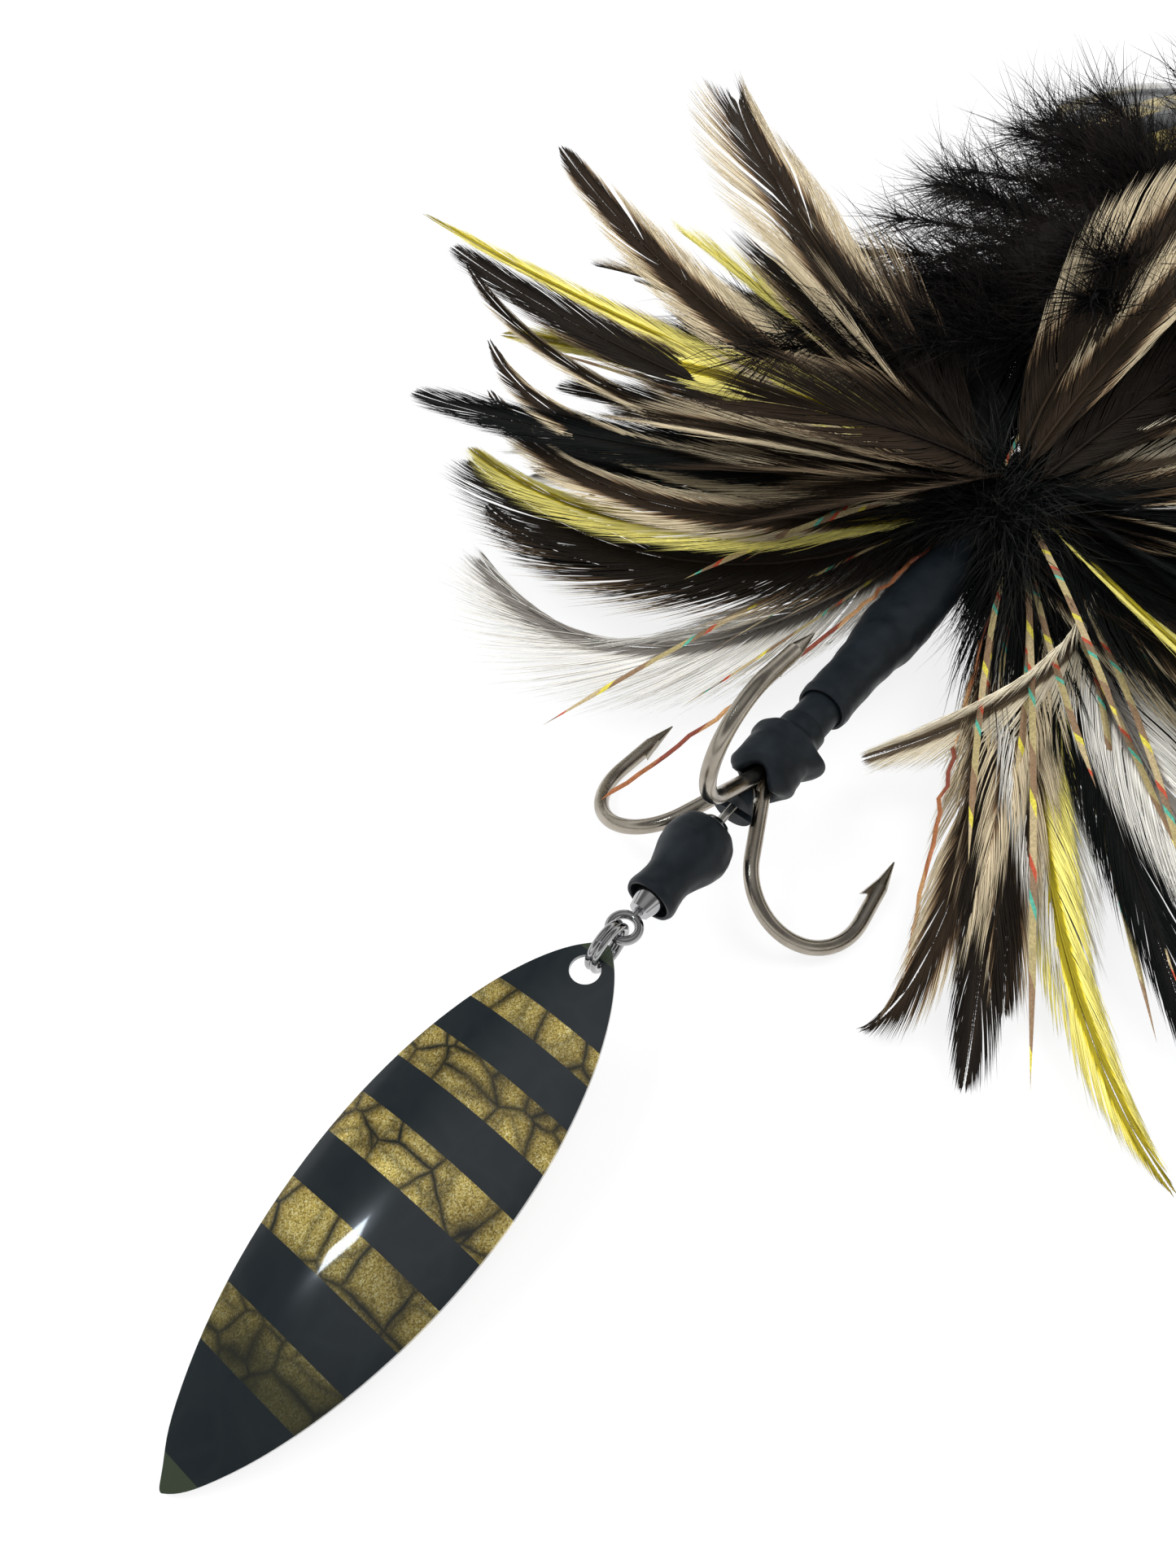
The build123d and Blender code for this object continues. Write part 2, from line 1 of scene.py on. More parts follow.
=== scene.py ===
"""Looks of a large inline spinner: banded blades, sleeved treble, splayed hackle and marabou.

Lengths are in metres. Places along the lure are distances in front of the treble's crotch, in mm,
turned into the frame by place().
"""
import bmesh
import bpy
import json
import math
import numpy as np
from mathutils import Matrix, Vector, noise


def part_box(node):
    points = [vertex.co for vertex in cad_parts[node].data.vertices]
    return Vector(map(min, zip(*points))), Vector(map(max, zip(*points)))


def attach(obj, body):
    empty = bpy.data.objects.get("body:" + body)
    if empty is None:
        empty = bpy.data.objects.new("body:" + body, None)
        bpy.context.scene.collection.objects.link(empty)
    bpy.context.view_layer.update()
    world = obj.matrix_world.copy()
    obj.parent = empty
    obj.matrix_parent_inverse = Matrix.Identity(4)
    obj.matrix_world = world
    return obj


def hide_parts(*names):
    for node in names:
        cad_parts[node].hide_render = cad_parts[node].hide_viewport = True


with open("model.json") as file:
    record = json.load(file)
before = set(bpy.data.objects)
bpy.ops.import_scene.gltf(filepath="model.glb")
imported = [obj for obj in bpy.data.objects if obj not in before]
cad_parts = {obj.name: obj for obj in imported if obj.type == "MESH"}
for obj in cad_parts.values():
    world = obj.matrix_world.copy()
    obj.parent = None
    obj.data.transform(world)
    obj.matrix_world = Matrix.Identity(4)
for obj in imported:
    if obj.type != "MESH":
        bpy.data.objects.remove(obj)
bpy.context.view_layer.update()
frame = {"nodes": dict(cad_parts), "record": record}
MM = 0.001


def middle(node):
    low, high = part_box(node)
    return (Vector(low) + Vector(high)) / 2


AXIS_Z = middle("hackle_former").z
PIN_BACK = 3.6 * MM  # the pin is this far behind the crotch
CROTCH_X = middle("crotch_pin").x + PIN_BACK


def station(x):
    """Distance in front of the crotch in mm."""
    return (x - CROTCH_X) / MM


def place(along, across=0.0, up=0.0):
    """A point from mm along the lure from the crotch, to its left, and above its axis."""
    return Vector((CROTCH_X + along * MM, across * MM, AXIS_Z + up * MM))


# ---------------------------------------------------------------- materials
class Nodes:
    """Small helper to write a node material in a few lines."""

    def __init__(self, name, roughness=0.5, metallic=0.0, color=(0.5, 0.5, 0.5)):
        self.material = bpy.data.materials.new(name)
        self.material.use_nodes = True
        self.tree = self.material.node_tree
        self.shader = self.tree.nodes["Principled BSDF"]
        self.set(roughness=roughness, metallic=metallic)
        self.shader.inputs["Base Color"].default_value = (*color, 1)

    def set(self, roughness=None, metallic=None, coat=None, coat_roughness=None, specular=None):
        values = {"Roughness": roughness, "Metallic": metallic, "Coat Weight": coat,
                  "Coat Roughness": coat_roughness, "Specular IOR Level": specular}
        for socket, value in values.items():
            if value is not None:
                self.shader.inputs[socket].default_value = value

    def node(self, kind, **values):
        made = self.tree.nodes.new(kind)
        for key, value in values.items():
            if hasattr(made, key):
                setattr(made, key, value)
        return made

    def link(self, source, target):
        self.tree.links.new(source, target)

    def coords(self):
        return self.node("ShaderNodeTexCoord").outputs["Object"]

    def map_axes(self):
        """The strand map: the shade, or the place along the strand, and the strand's random share."""
        split = self.node("ShaderNodeSeparateXYZ")
        self.link(self.node("ShaderNodeUVMap", uv_map="OFBake").outputs[0], split.inputs[0])
        return split.outputs[0], split.outputs[1]

    def math(self, operation, a, b=None, c=None, clamp=False):
        made = self.node("ShaderNodeMath", operation=operation, use_clamp=clamp)
        for socket, value in zip(made.inputs, (a, b, c)):
            if value is None:
                continue
            if isinstance(value, (int, float)):
                socket.default_value = value
            else:
                self.link(value, socket)
        return made.outputs[0]

    def noise(self, scale, detail=3.0, roughness=0.55):
        made = self.node("ShaderNodeTexNoise")
        made.inputs["Scale"].default_value = scale
        made.inputs["Detail"].default_value = detail
        made.inputs["Roughness"].default_value = roughness
        self.link(self.coords(), made.inputs["Vector"])
        return made.outputs["Fac"]

    def ramp(self, factor, stops):
        made = self.node("ShaderNodeValToRGB")
        ramp = made.color_ramp
        while len(ramp.elements) < len(stops):
            ramp.elements.new(0.5)
        for element, (position, color) in zip(ramp.elements, stops):
            element.position = position
            element.color = (*color, 1)
        self.link(factor, made.inputs["Fac"])
        return made.outputs["Color"]

    def mix(self, factor, a, b, blend="MIX"):
        made = self.node("ShaderNodeMix", data_type="RGBA", blend_type=blend)
        for socket, value in ((made.inputs[0], factor), (made.inputs[6], a), (made.inputs[7], b)):
            if isinstance(value, (int, float)):
                socket.default_value = value
            elif isinstance(value, tuple):
                socket.default_value = (*value, 1)
            else:
                self.link(value, socket)
        return made.outputs[2]

    def bump(self, height, strength, distance):
        made = self.node("ShaderNodeBump")
        made.inputs["Strength"].default_value = strength
        made.inputs["Distance"].default_value = distance
        self.link(height, made.inputs["Height"])
        self.link(made.outputs["Normal"], self.shader.inputs["Normal"])

    def to(self, source, socket):
        self.link(source, self.shader.inputs[socket])

    def grey(self, factor, low, high):
        """A ramp between two (position, value) stops in grey, for a roughness."""
        return self.ramp(factor, [(position, (value,) * 3) for position, value in (low, high)])


def metal(name, dark, light, roughness, scale=900.0, scratch=0.25):
    """Plated or drawn metal: uneven tone, fine drawing lines and small pits."""
    n = Nodes(name, metallic=1.0)
    tone = n.noise(220.0, 4.0)
    n.to(n.ramp(tone, [(0.3, dark), (0.7, light)]), "Base Color")
    fine = n.noise(scale, 2.0)
    n.to(n.grey(fine, (0.35, roughness * 0.75), (0.7, roughness * 1.35)), "Roughness")
    n.bump(fine, scratch, 0.00003)
    return n.material


def black_plastic(name, color, roughness, bump_scale, strength):
    """Shrunk tube or rubber: near black, dusty on its high spots, with a soft wrinkled skin."""
    n = Nodes(name)
    n.set(specular=0.25)
    skin = n.noise(bump_scale, 5.0, 0.6)
    grey = tuple(min(1.0, 1.8 * value + 0.004) for value in color)
    n.to(n.ramp(skin, [(0.35, color), (0.75, grey)]), "Base Color")
    dust = n.noise(bump_scale * 2.2)
    n.to(n.grey(dust, (0.3, roughness * 0.8), (0.7, roughness * 1.2)), "Roughness")
    n.bump(skin, strength, 0.0002)
    return n.material


WIDE_BLADE = 25.4 * MM  # the tail blade's width, which sets how far the painted shade's corner reaches
BLADE_NETS = ((150.0, 0.0016), (143.0, 0.0030))  # scale and pull of the two nets of dark lines
NET_LINE = 0.13  # half width of a net's line, as a share of a cell
FLAKE_SCALE = 6500.0


def blade_material(name, centre, way, across, length, bands):
    """Gloss black with gold glitter bands under a smoky net; painted shade darkens the bands to dark olive towards the
    tip and one side, and the black turns greenish at both ends.
    """
    n = Nodes(name)
    n.set(coat=1.0, coat_roughness=0.05, specular=0.3)
    position = n.coords()
    offset = n.node("ShaderNodeVectorMath", operation="SUBTRACT")
    n.link(position, offset.inputs[0])
    offset.inputs[1].default_value = centre

    def along(direction):
        dot = n.node("ShaderNodeVectorMath", operation="DOT_PRODUCT")
        n.link(offset.outputs[0], dot.inputs[0])
        dot.inputs[1].default_value = direction
        return dot.outputs["Value"]

    # share runs from 0 at the hole's end to 1 at the tip
    share = n.math("ADD", n.math("DIVIDE", along(way), length), 0.5)
    masks = None
    for start, end in bands:
        inside = n.math("MULTIPLY", n.math("GREATER_THAN", share, start), n.math("LESS_THAN", share, end))
        masks = inside if masks is None else n.math("ADD", masks, inside, clamp=True)
    lines, cell_light = None, None
    for scale, pull_size in BLADE_NETS:
        swirl = n.node("ShaderNodeTexNoise")
        swirl.inputs["Scale"].default_value = scale
        n.link(position, swirl.inputs["Vector"])
        pull = n.node("ShaderNodeVectorMath", operation="SCALE")
        n.link(swirl.outputs["Color"], pull.inputs[0])
        pull.inputs["Scale"].default_value = pull_size
        shifted = n.node("ShaderNodeVectorMath", operation="ADD")
        n.link(position, shifted.inputs[0])
        n.link(pull.outputs[0], shifted.inputs[1])
        cells = n.node("ShaderNodeTexVoronoi", feature="DISTANCE_TO_EDGE")
        cells.inputs["Scale"].default_value = scale
        cells.inputs["Randomness"].default_value = 0.75
        n.link(shifted.outputs[0], cells.inputs["Vector"])
        edge = n.math("SUBTRACT", 1.0, n.math("DIVIDE", cells.outputs["Distance"], NET_LINE), clamp=True)
        lines = edge if lines is None else n.math("MAXIMUM", lines, n.math("MULTIPLY", edge, 0.7))
        if cell_light is None:
            cell_light = n.math("MULTIPLY", cells.outputs["Distance"], 3.0, clamp=True)
    thick = n.math("ADD", 0.45, n.noise(160.0, 3.0))
    smoke = n.math("MULTIPLY", n.math("POWER", lines, 1.4), thick, clamp=True)
    flake = n.node("ShaderNodeTexVoronoi", feature="F1")
    flake.inputs["Scale"].default_value = FLAKE_SCALE
    n.link(position, flake.inputs["Vector"])
    sparkle = n.node("ShaderNodeSeparateColor")
    n.link(flake.outputs["Color"], sparkle.inputs[0])
    gold = n.ramp(sparkle.outputs[0], [(0.0, (0.26, 0.18, 0.03)), (0.45, (0.64, 0.48, 0.11)),
                                       (0.8, (0.86, 0.69, 0.22)), (1.0, (1.0, 0.94, 0.55))])
    gold = n.mix(cell_light, n.mix(1.0, gold, (0.45, 0.42, 0.36), "MULTIPLY"), gold)
    # painted shade: the gold bands darken to dark olive towards the tip, more on one side
    sideways = n.math("DIVIDE", along(across), WIDE_BLADE)
    slanted = n.math("ADD", share, n.math("MULTIPLY", sideways, -0.16))
    painted_shade = n.math("MULTIPLY", n.math("SUBTRACT", slanted, 0.52, clamp=True), 3.2, clamp=True)
    gold = n.mix(n.math("MULTIPLY", painted_shade, 0.9), gold, (0.030, 0.036, 0.018))
    gold = n.mix(smoke, gold, (0.016, 0.018, 0.014))
    ends = n.math("ADD", n.math("GREATER_THAN", share, 0.962), n.math("LESS_THAN", share, 0.03), clamp=True)
    ghost = n.math("MULTIPLY", n.math("MULTIPLY", lines, n.noise(240.0, 2.0)), 0.5)
    black = n.mix(ghost, (0.003, 0.006, 0.008), (0.010, 0.014, 0.014))
    black = n.mix(n.math("MULTIPLY", ends, 0.8), black, (0.025, 0.035, 0.018))
    n.to(n.mix(masks, black, gold), "Base Color")
    n.to(n.math("MULTIPLY", masks, 0.80), "Metallic")
    n.to(n.math("ADD", 0.16, n.math("MULTIPLY", masks, 0.24)), "Roughness")
    height = n.math("ADD", n.math("MULTIPLY", n.noise(900.0, 2.0), 0.25),
                    n.math("MULTIPLY", n.math("MULTIPLY", sparkle.outputs[1], masks), 0.8))
    n.bump(height, 0.35, 0.00004)
    return n.material


def fibre_material(name, root, mid, tip, rib, roughness=0.6):
    """Barbs: the strand map holds the shade, from rib to tip, and each strand's random share."""
    n = Nodes(name, roughness=roughness)
    n.set(specular=0.2)
    across_vane, chance = n.map_axes()
    shade = n.math("ADD", across_vane, n.math("MULTIPLY", n.math("SUBTRACT", chance, 0.5), 0.16), clamp=True)
    color = n.ramp(shade, [(0.0, rib), (0.05, root), (0.42, root), (0.52, mid), (0.66, tip)])
    tone = n.grey(chance, (0.0, 0.70), (1.0, 1.0))
    n.to(n.mix(1.0, color, tone, "MULTIPLY"), "Base Color")
    n.to(n.grey(chance, (0.0, roughness * 0.8), (1.0, min(1.0, roughness * 1.25))), "Roughness")
    return n.material


def flash_material(name, hues):
    """Tinsel: bright metal whose colour steps along the strand."""
    n = Nodes(name, metallic=0.45, roughness=0.3)
    along, chance = n.map_axes()
    step = n.math("FRACT", n.math("ADD", n.math("MULTIPLY", along, 3.0), n.math("MULTIPLY", chance, 7.0)))
    color = n.ramp(step, hues)
    for node in n.tree.nodes:
        if node.type == "VALTORGB":
            node.color_ramp.interpolation = "CONSTANT"
    grain = n.noise(3000.0, 1.0)
    n.to(n.mix(0.35, color, n.grey(grain, (0.4, 0.3), (0.6, 1.0)), "MULTIPLY"), "Base Color")
    n.bump(grain, 0.5, 0.00005)
    return n.material


def paint(material, *nodes):
    for name in nodes:
        for slot in frame["nodes"][name].material_slots:
            slot.material = material


# ---------------------------------------------------------------- mesh helpers
def unit(vectors):
    return vectors / np.maximum(np.linalg.norm(vectors, axis=-1, keepdims=True), 1e-12)


def mesh_piece(name, vertices, faces, material, body, coordinates=None, smooth=True):
    """A mesh object from arrays of vertices and of triangles or quads; coordinates become its map."""
    mesh = bpy.data.meshes.new(name)
    vertices = np.asarray(vertices, dtype=np.float32)
    faces = np.asarray(faces, dtype=np.int32)
    count, corners = faces.shape
    mesh.vertices.add(len(vertices))
    mesh.vertices.foreach_set("co", vertices.ravel())
    mesh.loops.add(count * corners)
    mesh.loops.foreach_set("vertex_index", faces.ravel())
    mesh.polygons.add(count)
    mesh.polygons.foreach_set("loop_start", np.arange(0, count * corners, corners, dtype=np.int32))
    mesh.update(calc_edges=True)
    if coordinates is not None:
        layer = mesh.uv_layers.new(name="OFBake")
        layer.uv.foreach_set("vector", np.asarray(coordinates, dtype=np.float32)[faces.ravel()].ravel())
    mesh.polygons.foreach_set("use_smooth", np.full(count, smooth))
    mesh.validate()
    mesh.materials.append(material)
    piece = bpy.data.objects.new(name, mesh)
    bpy.context.scene.collection.objects.link(piece)
    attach(piece, body)
    return piece


def strands(paths, normals, widths, thickness, shades, chance):
    """Closed three-sided strands that end in a point.

    paths (n, k, 3), normals (n, 3), widths (n, k - 1), thickness as a share of the width,
    shades (n, k) and chance (n,) fill the map.
    """
    paths = np.asarray(paths, dtype=float)
    n, k, _ = paths.shape
    rings = k - 1
    tangents = unit(np.gradient(paths, axis=1))[:, :rings]
    side = unit(np.cross(normals[:, None, :], tangents))
    up = unit(np.cross(tangents, side))
    half = 0.5 * widths[:, :, None]
    centre = paths[:, :rings]
    corners = np.stack([centre + side * half, centre + up * half * 2 * thickness, centre - side * half], axis=2)
    vertices = np.concatenate([corners.reshape(n, rings * 3, 3), paths[:, -1:]], axis=1)
    stride = rings * 3 + 1
    local = [[0, 1, 2]]
    for ring in range(rings - 1):
        a = ring * 3
        for corner in range(3):
            b = (corner + 1) % 3
            local.append([a + corner, a + 3 + corner, a + 3 + b])
            local.append([a + corner, a + 3 + b, a + b])
    last = (rings - 1) * 3
    tip = rings * 3
    local += [[last, tip, last + 1], [last + 1, tip, last + 2], [last + 2, tip, last]]
    faces = (np.arange(n)[:, None, None] * stride + np.asarray(local)[None]).reshape(-1, 3)
    u = np.concatenate([np.repeat(shades[:, :rings], 3, axis=1), shades[:, -1:]], axis=1)
    v = np.tile(np.concatenate([np.tile([0.0, 0.006, 0.012], rings), [0.006]]), (n, 1)) + chance[:, None] * 0.98
    return vertices.reshape(-1, 3), faces, np.stack([0.004 + 0.992 * u, v], axis=-1).reshape(-1, 2)


def joined(groups):
    """Several (vertices, faces, map) groups as one."""
    vertices, faces, maps, start = [], [], [], 0
    for group in groups:
        vertices.append(group[0])
        faces.append(group[1] + start)
        maps.append(group[2])
        start += len(group[0])
    return np.concatenate(vertices), np.concatenate(faces), np.concatenate(maps)


def cubic(control, t):
    """Points at t on a cubic with these four control points."""
    a, b, c, d = (np.asarray(point, dtype=float) for point in control)
    t = t[:, None]
    return a * (1 - t) ** 3 + 3 * b * t * (1 - t) ** 2 + 3 * c * t ** 2 * (1 - t) + d * t ** 3


# ---------------------------------------------------------------- feathers
FLOOR = 0.0004  # nothing soft comes nearer to the surface than this
CEILING = 0.0430  # soft things flatten out above this
FACES_IN_PIECE = 190000  # a larger bundle of strands is cut into more pieces
BARB_SPACING = 0.30 * MM
BARB_WIDTH = 0.32 * MM
BARBS_START = 0.05  # share of the quill that is bare
BARB_ANGLES = (27, 7)  # degrees between barb and quill at the root and at the tip
LONGEST_BARB = 36 * MM


def feather(rng, control, width, band, roll):
    """Barbs and quill of one feather along a cubic, as two lists of arguments for strands()."""
    grid = np.linspace(0, 1, 200)
    line = cubic(control, grid)
    steps = np.linalg.norm(np.diff(line, axis=0), axis=1)
    length = steps.sum()
    run = np.concatenate([[0], np.cumsum(steps)]) / length
    count = max(12, int(length * (1 - BARBS_START) / BARB_SPACING))
    share = np.repeat(BARBS_START + (0.995 - BARBS_START) * (np.arange(count) + 0.5) / count, 2)
    share = np.clip(share + rng.normal(0, 0.25 / count, share.size), BARBS_START, 0.998)
    sign = np.tile([1.0, -1.0], count)
    at = np.interp(share, run, grid)
    origin = cubic(control, at)
    ahead = unit(cubic(control, np.minimum(at + 0.01, 1.0)) - cubic(control, np.maximum(at - 0.01, 0.0)))
    # the vane's flat side looks up, rolled about the quill
    side = unit(np.cross(np.array([0, 0, 1.0]), ahead))
    face = unit(np.cross(ahead, side))
    side = side * math.cos(roll) + face * math.sin(roll)
    face = unit(np.cross(ahead, side))
    outline = np.minimum(1.0, (share / 0.30) ** 0.6) * (1 - np.clip((share - 0.26) / 0.74, 0, 1) ** 1.25)
    outline = np.maximum(outline, 0.02)
    # splits: runs of barbs that lean together and leave a gap behind them
    lean = np.zeros((2, count))
    for row in range(2):
        cut = np.sort(rng.integers(0, count, 4))
        since = np.arange(count) - np.concatenate([[0], cut])[np.searchsorted(cut, np.arange(count))]
        lean[row] = rng.normal(0, 0.5, 5)[np.searchsorted(cut, np.arange(count))] - 3.2 * np.exp(-since / 9.0)
    lean = lean.T.ravel()
    at_root, at_tip = BARB_ANGLES
    open_angle = np.interp(share, [BARBS_START, 0.35, 0.8, 1.0], [at_root, at_root * 0.72, at_tip * 1.25, at_tip])
    angle = np.radians(open_angle + lean + rng.normal(0, 0.7, share.size))
    reach = 0.5 * width * outline * rng.normal(1.0, 0.05, share.size) / np.sin(np.radians(open_angle * 0.85))
    reach = np.minimum(reach, LONGEST_BARB)
    out = side * sign[:, None]
    lift = rng.normal(0, 0.035, share.size) + 0.10
    points = [origin + out * 0.0002]
    lateral = [np.zeros(share.size)]
    for part, turn in ((0.22, 1.35), (0.26, 1.05), (0.26, 0.78), (0.26, 0.50)):
        theta = np.clip(angle * turn, 0.05, 1.4)
        direction = ahead * np.cos(theta)[:, None] + out * np.sin(theta)[:, None]
        direction = direction + face * (lift * (1.4 - turn))[:, None]
        points.append(points[-1] + direction * (reach * part)[:, None])
        lateral.append(lateral[-1] + np.sin(theta) * reach * part)
    paths = np.stack(points, axis=1)
    lateral = np.stack(lateral, axis=1)
    edge = 0.5 * width * np.interp(share, [0.0, 0.25, 1.0], [band[0], band[1], band[2]])[:, None]
    shades = np.clip(0.5 * lateral / np.maximum(edge, 1e-5), 0, 1)
    wide = BARB_WIDTH * np.interp(share, [0, 0.6, 1.0], [1.0, 0.9, 0.6])[:, None] * np.array([1.0, 0.95, 0.75, 0.42])
    quill_t = np.linspace(0, 1, 14)
    quill = cubic(control, np.interp(quill_t, run, grid))[None]
    quill_wide = np.interp(quill_t[:-1], [0, 1], [0.0009, 0.00016])[None]
    barbs = (paths, face, wide, 0.22, shades, rng.random(share.size))
    return barbs, (quill, face[:1], quill_wide, 0.8, np.zeros((1, 14)), rng.random(1))


def grounded(vertices):
    """Keeps strands above the surface, and flattens what stands above the ceiling."""
    low = vertices[:, 2] < FLOOR
    vertices[low, 2] = FLOOR + 0.02 * (FLOOR - vertices[low, 2])
    high = vertices[:, 2] > CEILING
    vertices[high, 2] = CEILING + 0.35 * (vertices[high, 2] - CEILING)
    return vertices


def spot(along, across, height):
    """A point by station and offset to the left in mm, and height above the surface in mm."""
    return np.array([CROTCH_X + along * MM, across * MM, height * MM])


HEAD = station(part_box("hackle_wrap")[0][0]) - 1.0


def quill_curve(middle_point, tip, lead=0.0):
    """Four control points of a quill from the head through its middle to its tip."""
    head = spot(HEAD + lead, 0, AXIS_Z / MM)
    flat = (middle_point - head) * np.array([0, 1, 1])
    base = head + 0.0046 * flat / max(np.linalg.norm(flat), 1e-6)
    bend = 2 * middle_point - 0.5 * (base + tip)
    return [base, base + (bend - base) * 2 / 3, tip + (bend - tip) * 2 / 3, tip]


# kind, middle and tip (station, left, height), width, roll: the feathers that give the dressing its outline.
# Sixteen rows are, to about 3 mm, what a helper script made of points read off the photograph, at heights
# chosen by hand. Nine more started from their numbers and were altered, and four are given.
NAMED_FEATHERS = [
    ("badger", (86, 48, 38), (113, 86, 46), 23, 10),
    ("badger", (67, 52, 31), (84, 107, 40), 12, -15),
    ("yellow", (60, 66, 29), (52, 113, 38), 9, 10),
    ("dark", (54, 53, 28), (47, 101, 38), 14, 0),
    ("badger", (47, 56, 25), (51, 102, 33), 10, 20),
    ("badger", (38, 49, 24), (41, 88, 28), 8, -20),
    ("black", (40, 46, 25), (26, 93, 23), 14, 0),
    ("badger", (32, 39, 22), (34, 82, 24), 10, -10),
    ("yellow", (32, 36, 19), (30, 84, 13), 13, 15),
    ("dark", (31, 31, 15), (31, 85, 9), 18, -5),
    ("black", (30, 34, 12), (26, 77, 6), 13, 0),
    ("grey", (20, 26, 8), (16, 69, 4), 20, 10),
    ("dark", (94, -9, 27), (150, -22, 36), 22, 25),
    ("badger", (98, -2, 31), (146, -6, 44), 15, -25),
    ("badger", (79, -22, 22), (112, -64, 24), 24, 10),
    ("brown", (64, -26, 18), (74, -78, 17), 20, -15),
    ("badger", (57, -32, 16), (50, -88, 12), 15, 0),
    ("grey", (47, -34, 13), (14, -76, 8), 16, 10),
    ("black", (38, -36, 11), (6, -68, 4), 14, 0),
    ("yellow", (16, -40, 8), (-13, -73, 3), 11, 10),
    ("dark", (14, -32, 9), (-17, -46, 2), 14, -10),
    ("badger", (12, -29, 8), (-18, -31, 2), 14, 20),
    ("badger", (24, -30, 10), (-5, -45, 4), 14, 0),
    ("grey", (27, -34, 9), (2, -54, 4), 16, -10),
    ("cream", (53, -24, 16), (16, -9, 10), 11, -50),
    ("dark", (108, -10, 30), (140, -34, 34), 18, 10),
    ("badger", (101, -20, 28), (128, -50, 30), 20, -20),
    ("cream", (96, -26, 24), (112, -62, 22), 18, 20),
    ("badger", (104, 4, 32), (150, 2, 42), 20, 15),
]


def dressing(seed, kinds):
    """Every hackle feather: the named ones, and others that fill both sides and the head."""
    rng = np.random.default_rng(seed)
    listed = list(NAMED_FEATHERS)
    head = np.array([HEAD, 0, AXIS_Z / MM])

    def extra(kind, turn, length, height, width, bow):
        tip = np.array([HEAD + length * math.cos(turn), length * math.sin(turn), height])
        across = np.array([-math.sin(turn), math.cos(turn), 0]) * bow
        half = (head + tip) / 2 + across + np.array([0, 0, rng.uniform(4, 9)])
        listed.append((kind, tuple(half), tuple(tip), width, rng.uniform(-35, 35)))

    for index in range(36):
        side = 1 if index % 2 else -1
        turn = side * math.radians(rng.uniform(64 if side > 0 else 34, 128))
        height = rng.uniform(4, 30)
        extra(kinds[index % len(kinds)], turn, rng.uniform(66, 98), height, rng.uniform(9, 16),
              side * rng.uniform(1, 10))
    for index in range(44):
        side = 1 if index % 2 else -1
        turn = side * math.radians(rng.uniform(15, 148))
        low = index % 2 == 0 or index % 5 == 0 or abs(turn) < math.radians(66)
        height = rng.uniform(3, 16) if low else rng.uniform(18, 34)
        extra("black" if low else ("brown", "badger", "dark")[index % 3], turn, rng.uniform(36, 66), height,
              rng.uniform(15, 22), side * rng.uniform(0, 8))
    return listed


# half width of each kind's dark middle at the root, a quarter of the way along and at the tip
BANDS = {
    "badger": (0.66, 0.46, 0.20),
    "dark": (0.95, 0.80, 0.45),
    "black": (2.2, 1.9, 0.9),
    "yellow": (0.5, 0.16, 0.1),
    "grey": (0.5, 0.22, 0.15),
    "brown": (0.9, 0.8, 0.6),
    "cream": (0.45, 0.18, 0.10),
}
HACKLE_KINDS = ["badger", "dark", "badger", "grey", "badger", "yellow", "black"]


def piece_count(groups):
    """How many pieces these groups of strands are cut into."""
    total = sum(len(group[1]) for group in groups)
    return -(-total // FACES_IN_PIECE)


def build_hackle():
    rng = np.random.default_rng(41)
    barbs = {kind: [] for kind in BANDS}
    quills = {kind: [] for kind in BANDS}
    for kind, half, tip, width, roll in dressing(7, HACKLE_KINDS):
        control = quill_curve(spot(*half), spot(*tip), rng.uniform(-3, 2))
        made, quill = feather(rng, control, width * MM, BANDS[kind], math.radians(roll))
        barbs[kind].append(strands(*made))
        quills[kind].append(strands(*quill))
    for kind, groups in barbs.items():
        cuts = np.array_split(np.arange(len(groups)), piece_count(groups + quills[kind]))
        for number, cut in enumerate(cuts):
            vertices, faces, maps = joined([groups[i] for i in cut] + [quills[kind][i] for i in cut])
            name = f"hackle_{kind}_{number + 1}"
            piece = mesh_piece(name, grounded(vertices), faces, MATERIALS[kind], "rear_body", maps)
            HACKLE_PIECES.append(piece)


DOWN_FIBRES = 11000


def build_fluff():
    """Black webby down round the head."""
    rng = np.random.default_rng(5)
    n = DOWN_FIBRES
    head = spot(HEAD - 5, 0, AXIS_Z / MM)
    turn = rng.uniform(0, 2 * math.pi, n)
    out = np.stack([rng.normal(-0.30, 0.45, n), np.cos(turn), np.sin(turn) * 0.5 - 0.25], axis=1)
    start = head + np.stack([rng.uniform(-9, 10, n) * MM, np.cos(turn) * 4.6 * MM, np.sin(turn) * 4.6 * MM], axis=1)
    length = rng.uniform(10, 38, n) * MM * np.interp(np.abs(np.cos(turn)), [0, 0.6, 1], [0.30, 0.8, 1.0])
    bend = rng.normal(0, 0.35, (n, 3)) - np.array([0.55, 0, 0.2])
    points = [start]
    for part in (0.3, 0.3, 0.4):
        out = unit(out + bend * part)
        points.append(points[-1] + out * (length * part)[:, None])
    wide = np.full((n, 1), 0.00022) * np.array([1.0, 0.8, 0.45])
    shades = np.tile([0.0, 0.3, 0.6, 0.9], (n, 1))
    normals = unit(rng.normal(0, 1, (n, 3)))
    vertices, faces, maps = strands(np.stack(points, 1), normals, wide, 0.6, shades, rng.random(n))
    piece = mesh_piece("hackle_down", grounded(vertices), faces, MATERIALS["black"], "rear_body", maps)
    HACKLE_PIECES.append(piece)


PLUMES = 150
PLUME_FIBRES = 300
GOLDEN_SHARE = 0.381966  # of a turn between one plume and the next


